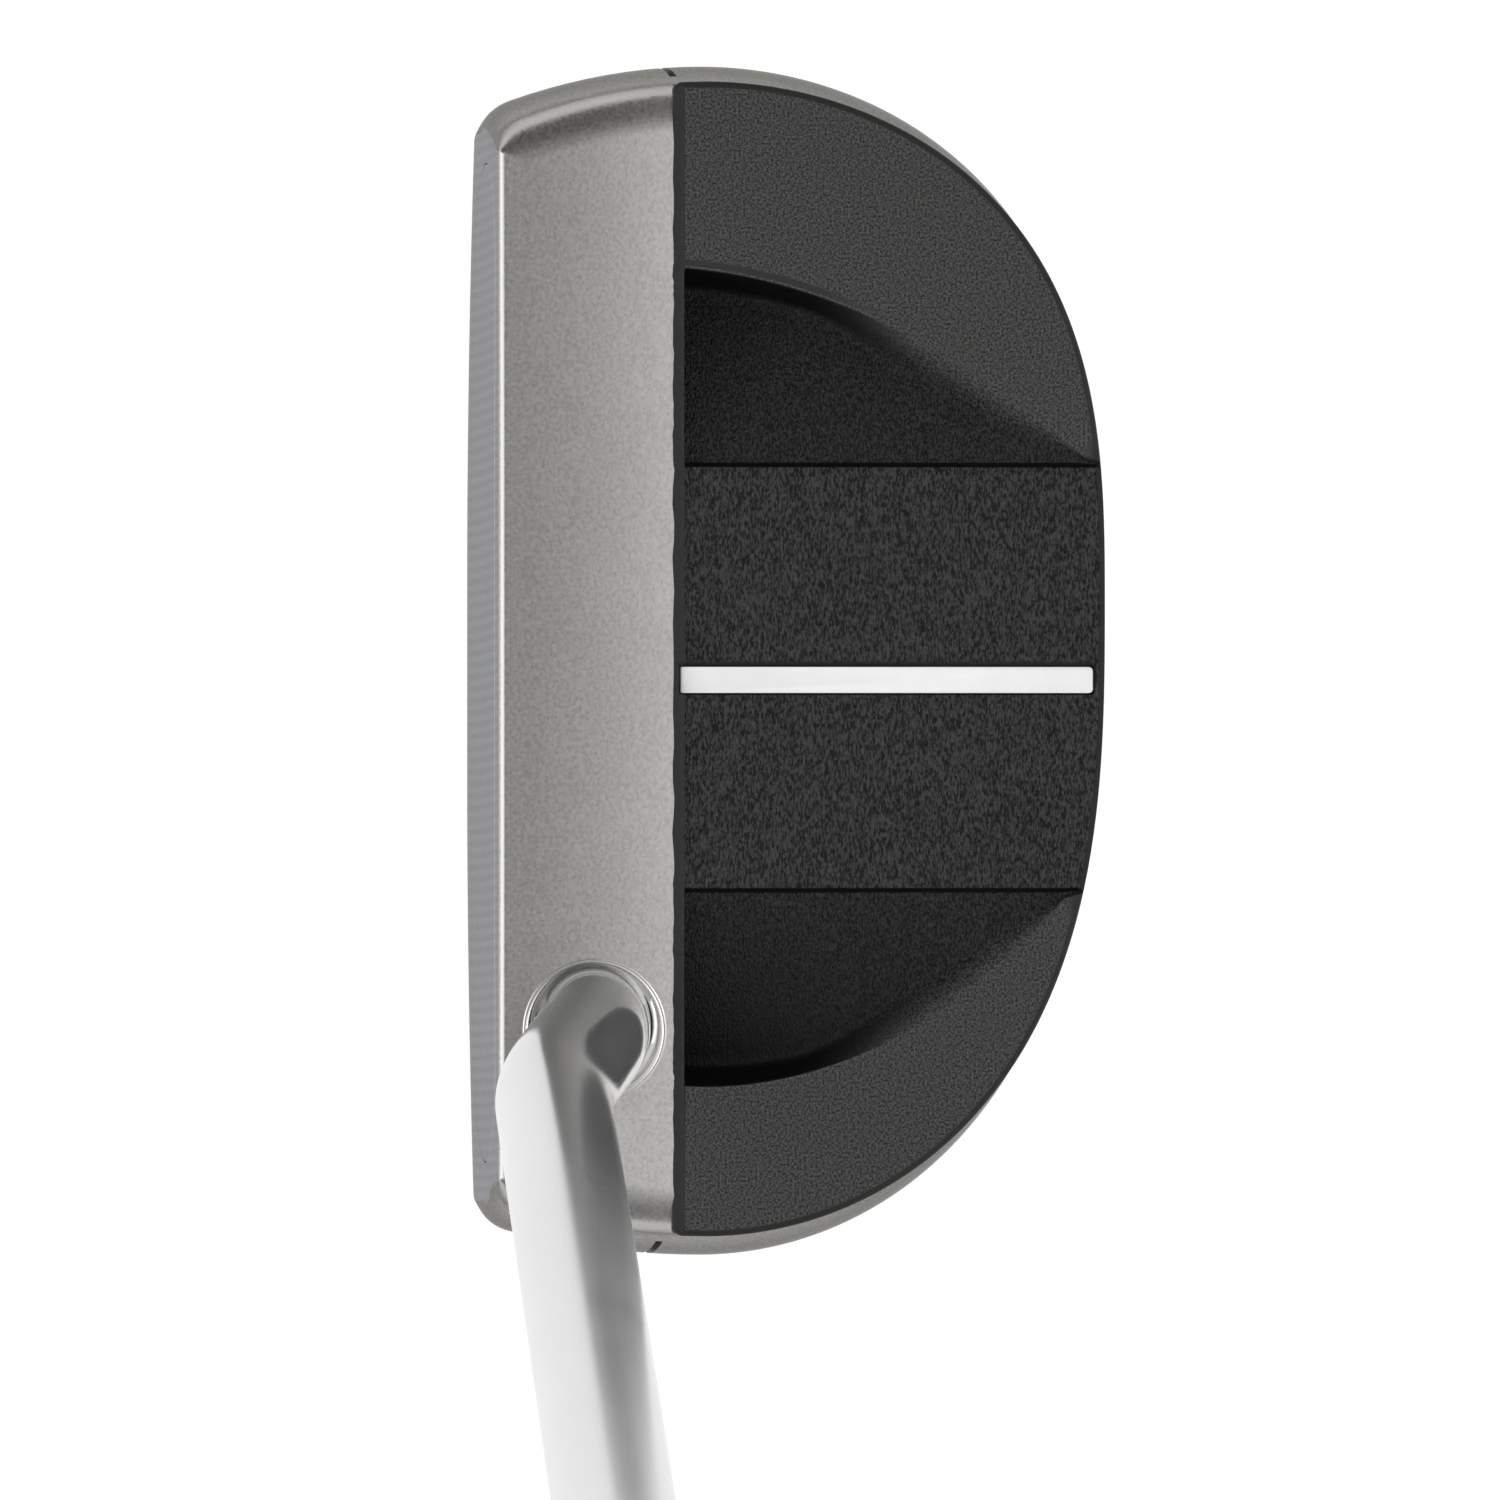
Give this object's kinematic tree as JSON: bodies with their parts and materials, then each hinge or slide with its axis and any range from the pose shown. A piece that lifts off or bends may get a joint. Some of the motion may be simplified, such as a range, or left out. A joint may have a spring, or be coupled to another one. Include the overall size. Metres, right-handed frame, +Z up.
{
  "type": "mallet putter",
  "caption": "Right-handed mid-size mallet putter: satin front body with milled face, black scooped rear deck with white sightline, bent chromed shaft and pistol grip.",
  "frame": {"origin": "on the flat of the sole plate, under the sightline and 13 mm behind the face's top edge; z = 0 is the ground", "axes": "+Z up with the sole on the ground, -Y the way the ball is struck, -X towards the toe, +X towards the golfer"},
  "size_m": [0.392, 0.0613, 0.8388],
  "materials": {
    "satin_steel": "fine bead-blasted satin",
    "milled_steel": "fly-milled",
    "bond_film": "cured adhesive film",
    "black_anodised": "black, fine grained texture",
    "white_enamel": "smooth enamel fill",
    "fastener_steel": "plain",
    "weight_steel": "turned",
    "chrome": "polished chrome plate",
    "plug_rubber": "matte",
    "tape": "paper tape",
    "underlisting": "matte",
    "grip_skin": "fine pebbled rubber",
    "cap_rubber": "smooth moulded rubber"
  },
  "bodies": {
    "root": {"head_body": "satin_steel", "face_insert": "milled_steel", "face_bond_film": "bond_film", "rear_deck": "black_anodised", "sightline_fill": "white_enamel", "sole_plate": "milled_steel", "sole_plate_screw_1": "fastener_steel", "sole_plate_screw_2": "fastener_steel", "deck_screw_1": "fastener_steel", "deck_screw_2": "fastener_steel", "deck_screw_3": "fastener_steel", "deck_screw_4": "fastener_steel", "toe_weight": "weight_steel", "heel_weight": "weight_steel", "shaft": "chrome", "shaft_tip_plug": "plug_rubber", "grip_tape": "tape", "grip_underlisting": "underlisting", "grip_wrap": "grip_skin", "grip_end_cap": "cap_rubber", "grip_collar": "cap_rubber"}
  },
  "joints": []
}
